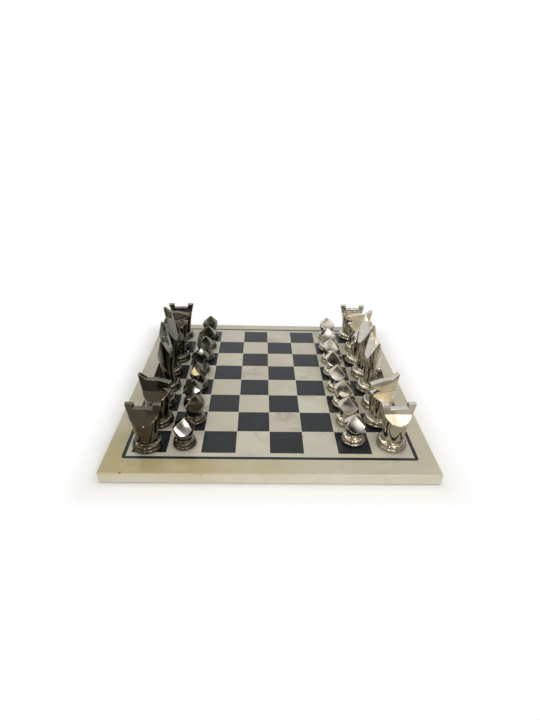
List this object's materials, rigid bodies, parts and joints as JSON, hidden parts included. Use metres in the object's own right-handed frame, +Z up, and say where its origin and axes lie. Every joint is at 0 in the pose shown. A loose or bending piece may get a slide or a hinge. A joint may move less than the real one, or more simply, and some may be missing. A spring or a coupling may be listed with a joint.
{
  "type": "chess set with board",
  "caption": "Modern chess set: polished nickel and dark gunmetal castings with faceted heads on turned stems, in opening position on an inlaid marble board.",
  "frame": {"origin": "under the middle of the board, on the surface that its feet stand on", "axes": "+Z up, +X towards the nickel set's side of the board, rank 1 furthest towards -Y"},
  "size_m": [0.381, 0.381, 0.1055],
  "materials": {
    "marble": "polished",
    "dark_stone": "polished",
    "nickel": "polished",
    "gunmetal": "polished",
    "rubber": "matte"
  },
  "bodies": {
    "board": {"board_slab": "marble", "border_inlay": "dark_stone", "dark_squares_rank_1": "dark_stone", "dark_squares_rank_2": "dark_stone", "dark_squares_rank_3": "dark_stone", "dark_squares_rank_4": "dark_stone", "dark_squares_rank_5": "dark_stone", "dark_squares_rank_6": "dark_stone", "dark_squares_rank_7": "dark_stone", "dark_squares_rank_8": "dark_stone", "board_foot_1": "rubber", "board_foot_2": "rubber", "board_foot_3": "rubber", "board_foot_4": "rubber"},
    "nickel_rook_1": {"nickel_rook_1": "nickel"},
    "nickel_knight_1": {"nickel_knight_1": "nickel"},
    "nickel_bishop_1": {"nickel_bishop_1": "nickel"},
    "nickel_queen": {"nickel_queen": "nickel"},
    "nickel_king": {"nickel_king": "nickel"},
    "nickel_bishop_2": {"nickel_bishop_2": "nickel"},
    "nickel_knight_2": {"nickel_knight_2": "nickel"},
    "nickel_rook_2": {"nickel_rook_2": "nickel"},
    "nickel_pawn_1": {"nickel_pawn_1": "nickel"},
    "nickel_pawn_2": {"nickel_pawn_2": "nickel"},
    "nickel_pawn_3": {"nickel_pawn_3": "nickel"},
    "nickel_pawn_4": {"nickel_pawn_4": "nickel"},
    "nickel_pawn_5": {"nickel_pawn_5": "nickel"},
    "nickel_pawn_6": {"nickel_pawn_6": "nickel"},
    "nickel_pawn_7": {"nickel_pawn_7": "nickel"},
    "nickel_pawn_8": {"nickel_pawn_8": "nickel"},
    "gunmetal_rook_1": {"gunmetal_rook_1": "gunmetal"},
    "gunmetal_knight_1": {"gunmetal_knight_1": "gunmetal"},
    "gunmetal_bishop_1": {"gunmetal_bishop_1": "gunmetal"},
    "gunmetal_queen": {"gunmetal_queen": "gunmetal"},
    "gunmetal_king": {"gunmetal_king": "gunmetal"},
    "gunmetal_bishop_2": {"gunmetal_bishop_2": "gunmetal"},
    "gunmetal_knight_2": {"gunmetal_knight_2": "gunmetal"},
    "gunmetal_rook_2": {"gunmetal_rook_2": "gunmetal"},
    "gunmetal_pawn_1": {"gunmetal_pawn_1": "gunmetal"},
    "gunmetal_pawn_2": {"gunmetal_pawn_2": "gunmetal"},
    "gunmetal_pawn_3": {"gunmetal_pawn_3": "gunmetal"},
    "gunmetal_pawn_4": {"gunmetal_pawn_4": "gunmetal"},
    "gunmetal_pawn_5": {"gunmetal_pawn_5": "gunmetal"},
    "gunmetal_pawn_6": {"gunmetal_pawn_6": "gunmetal"},
    "gunmetal_pawn_7": {"gunmetal_pawn_7": "gunmetal"},
    "gunmetal_pawn_8": {"gunmetal_pawn_8": "gunmetal"}
  },
  "joints": [
    {"name": "nickel_rook_1_lift", "type": "slide", "parent": "board", "child": "nickel_rook_1", "axis": [0, 0, 1], "range_m": [0, 0.1]},
    {"name": "nickel_knight_1_lift", "type": "slide", "parent": "board", "child": "nickel_knight_1", "axis": [0, 0, 1], "range_m": [0, 0.1]},
    {"name": "nickel_bishop_1_lift", "type": "slide", "parent": "board", "child": "nickel_bishop_1", "axis": [0, 0, 1], "range_m": [0, 0.1]},
    {"name": "nickel_queen_lift", "type": "slide", "parent": "board", "child": "nickel_queen", "axis": [0, 0, 1], "range_m": [0, 0.1]},
    {"name": "nickel_king_lift", "type": "slide", "parent": "board", "child": "nickel_king", "axis": [0, 0, 1], "range_m": [0, 0.1]},
    {"name": "nickel_bishop_2_lift", "type": "slide", "parent": "board", "child": "nickel_bishop_2", "axis": [0, 0, 1], "range_m": [0, 0.1]},
    {"name": "nickel_knight_2_lift", "type": "slide", "parent": "board", "child": "nickel_knight_2", "axis": [0, 0, 1], "range_m": [0, 0.1]},
    {"name": "nickel_rook_2_lift", "type": "slide", "parent": "board", "child": "nickel_rook_2", "axis": [0, 0, 1], "range_m": [0, 0.1]},
    {"name": "nickel_pawn_1_lift", "type": "slide", "parent": "board", "child": "nickel_pawn_1", "axis": [0, 0, 1], "range_m": [0, 0.1]},
    {"name": "nickel_pawn_2_lift", "type": "slide", "parent": "board", "child": "nickel_pawn_2", "axis": [0, 0, 1], "range_m": [0, 0.1]},
    {"name": "nickel_pawn_3_lift", "type": "slide", "parent": "board", "child": "nickel_pawn_3", "axis": [0, 0, 1], "range_m": [0, 0.1]},
    {"name": "nickel_pawn_4_lift", "type": "slide", "parent": "board", "child": "nickel_pawn_4", "axis": [0, 0, 1], "range_m": [0, 0.1]},
    {"name": "nickel_pawn_5_lift", "type": "slide", "parent": "board", "child": "nickel_pawn_5", "axis": [0, 0, 1], "range_m": [0, 0.1]},
    {"name": "nickel_pawn_6_lift", "type": "slide", "parent": "board", "child": "nickel_pawn_6", "axis": [0, 0, 1], "range_m": [0, 0.1]},
    {"name": "nickel_pawn_7_lift", "type": "slide", "parent": "board", "child": "nickel_pawn_7", "axis": [0, 0, 1], "range_m": [0, 0.1]},
    {"name": "nickel_pawn_8_lift", "type": "slide", "parent": "board", "child": "nickel_pawn_8", "axis": [0, 0, 1], "range_m": [0, 0.1]},
    {"name": "gunmetal_rook_1_lift", "type": "slide", "parent": "board", "child": "gunmetal_rook_1", "axis": [0, 0, 1], "range_m": [0, 0.1]},
    {"name": "gunmetal_knight_1_lift", "type": "slide", "parent": "board", "child": "gunmetal_knight_1", "axis": [0, 0, 1], "range_m": [0, 0.1]},
    {"name": "gunmetal_bishop_1_lift", "type": "slide", "parent": "board", "child": "gunmetal_bishop_1", "axis": [0, 0, 1], "range_m": [0, 0.1]},
    {"name": "gunmetal_queen_lift", "type": "slide", "parent": "board", "child": "gunmetal_queen", "axis": [0, 0, 1], "range_m": [0, 0.1]},
    {"name": "gunmetal_king_lift", "type": "slide", "parent": "board", "child": "gunmetal_king", "axis": [0, 0, 1], "range_m": [0, 0.1]},
    {"name": "gunmetal_bishop_2_lift", "type": "slide", "parent": "board", "child": "gunmetal_bishop_2", "axis": [0, 0, 1], "range_m": [0, 0.1]},
    {"name": "gunmetal_knight_2_lift", "type": "slide", "parent": "board", "child": "gunmetal_knight_2", "axis": [0, 0, 1], "range_m": [0, 0.1]},
    {"name": "gunmetal_rook_2_lift", "type": "slide", "parent": "board", "child": "gunmetal_rook_2", "axis": [0, 0, 1], "range_m": [0, 0.1]},
    {"name": "gunmetal_pawn_1_lift", "type": "slide", "parent": "board", "child": "gunmetal_pawn_1", "axis": [0, 0, 1], "range_m": [0, 0.1]},
    {"name": "gunmetal_pawn_2_lift", "type": "slide", "parent": "board", "child": "gunmetal_pawn_2", "axis": [0, 0, 1], "range_m": [0, 0.1]},
    {"name": "gunmetal_pawn_3_lift", "type": "slide", "parent": "board", "child": "gunmetal_pawn_3", "axis": [0, 0, 1], "range_m": [0, 0.1]},
    {"name": "gunmetal_pawn_4_lift", "type": "slide", "parent": "board", "child": "gunmetal_pawn_4", "axis": [0, 0, 1], "range_m": [0, 0.1]},
    {"name": "gunmetal_pawn_5_lift", "type": "slide", "parent": "board", "child": "gunmetal_pawn_5", "axis": [0, 0, 1], "range_m": [0, 0.1]},
    {"name": "gunmetal_pawn_6_lift", "type": "slide", "parent": "board", "child": "gunmetal_pawn_6", "axis": [0, 0, 1], "range_m": [0, 0.1]},
    {"name": "gunmetal_pawn_7_lift", "type": "slide", "parent": "board", "child": "gunmetal_pawn_7", "axis": [0, 0, 1], "range_m": [0, 0.1]},
    {"name": "gunmetal_pawn_8_lift", "type": "slide", "parent": "board", "child": "gunmetal_pawn_8", "axis": [0, 0, 1], "range_m": [0, 0.1]}
  ]
}
